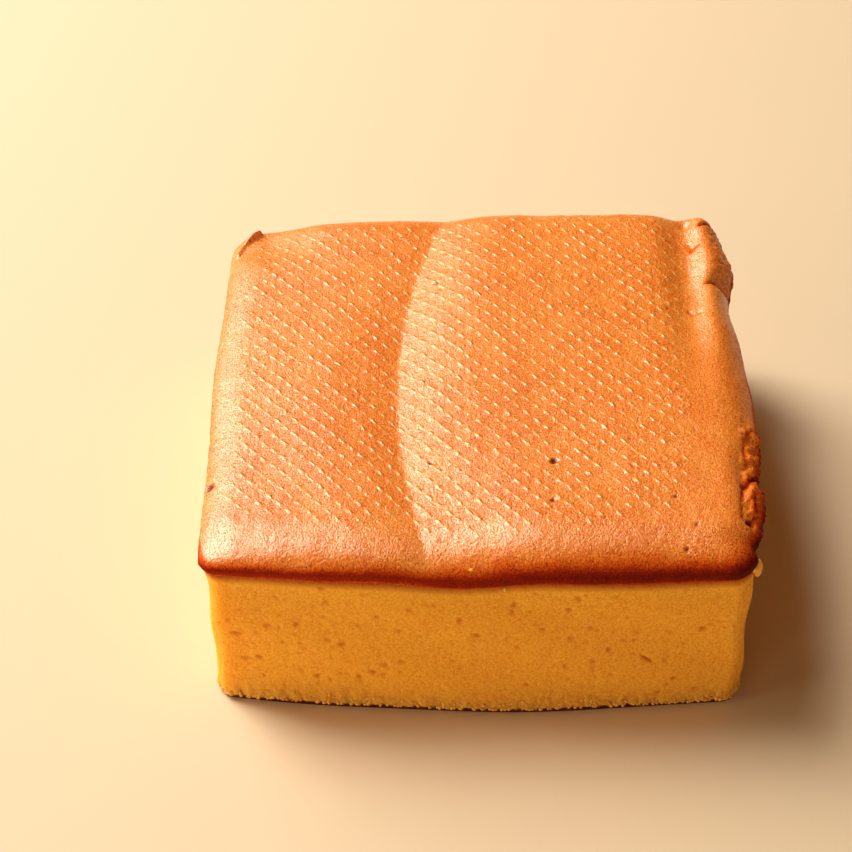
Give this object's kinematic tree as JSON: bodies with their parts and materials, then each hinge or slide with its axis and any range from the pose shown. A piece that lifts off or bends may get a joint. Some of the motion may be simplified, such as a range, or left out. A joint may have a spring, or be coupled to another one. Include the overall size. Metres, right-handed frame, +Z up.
{
  "type": "castella sponge cake",
  "caption": "Whole square castella sponge cake with a creased, browned top crust over pale yellow crumb; a baked food to set on a board, plate or counter.",
  "frame": {"origin": "middle of the flat base, on the surface that the cake stands on", "axes": "+Z up through the crust, -Y towards the front side, +X to the right as seen from the front"},
  "size_m": [0.1679, 0.1688, 0.0673],
  "materials": {
    "sponge_crumb": null,
    "browned_crust": "golden brown baked crust with a satin sheen and a fine dimpled imprint"
  },
  "bodies": {
    "root": {"sponge_cake": "sponge_crumb"}
  },
  "joints": []
}
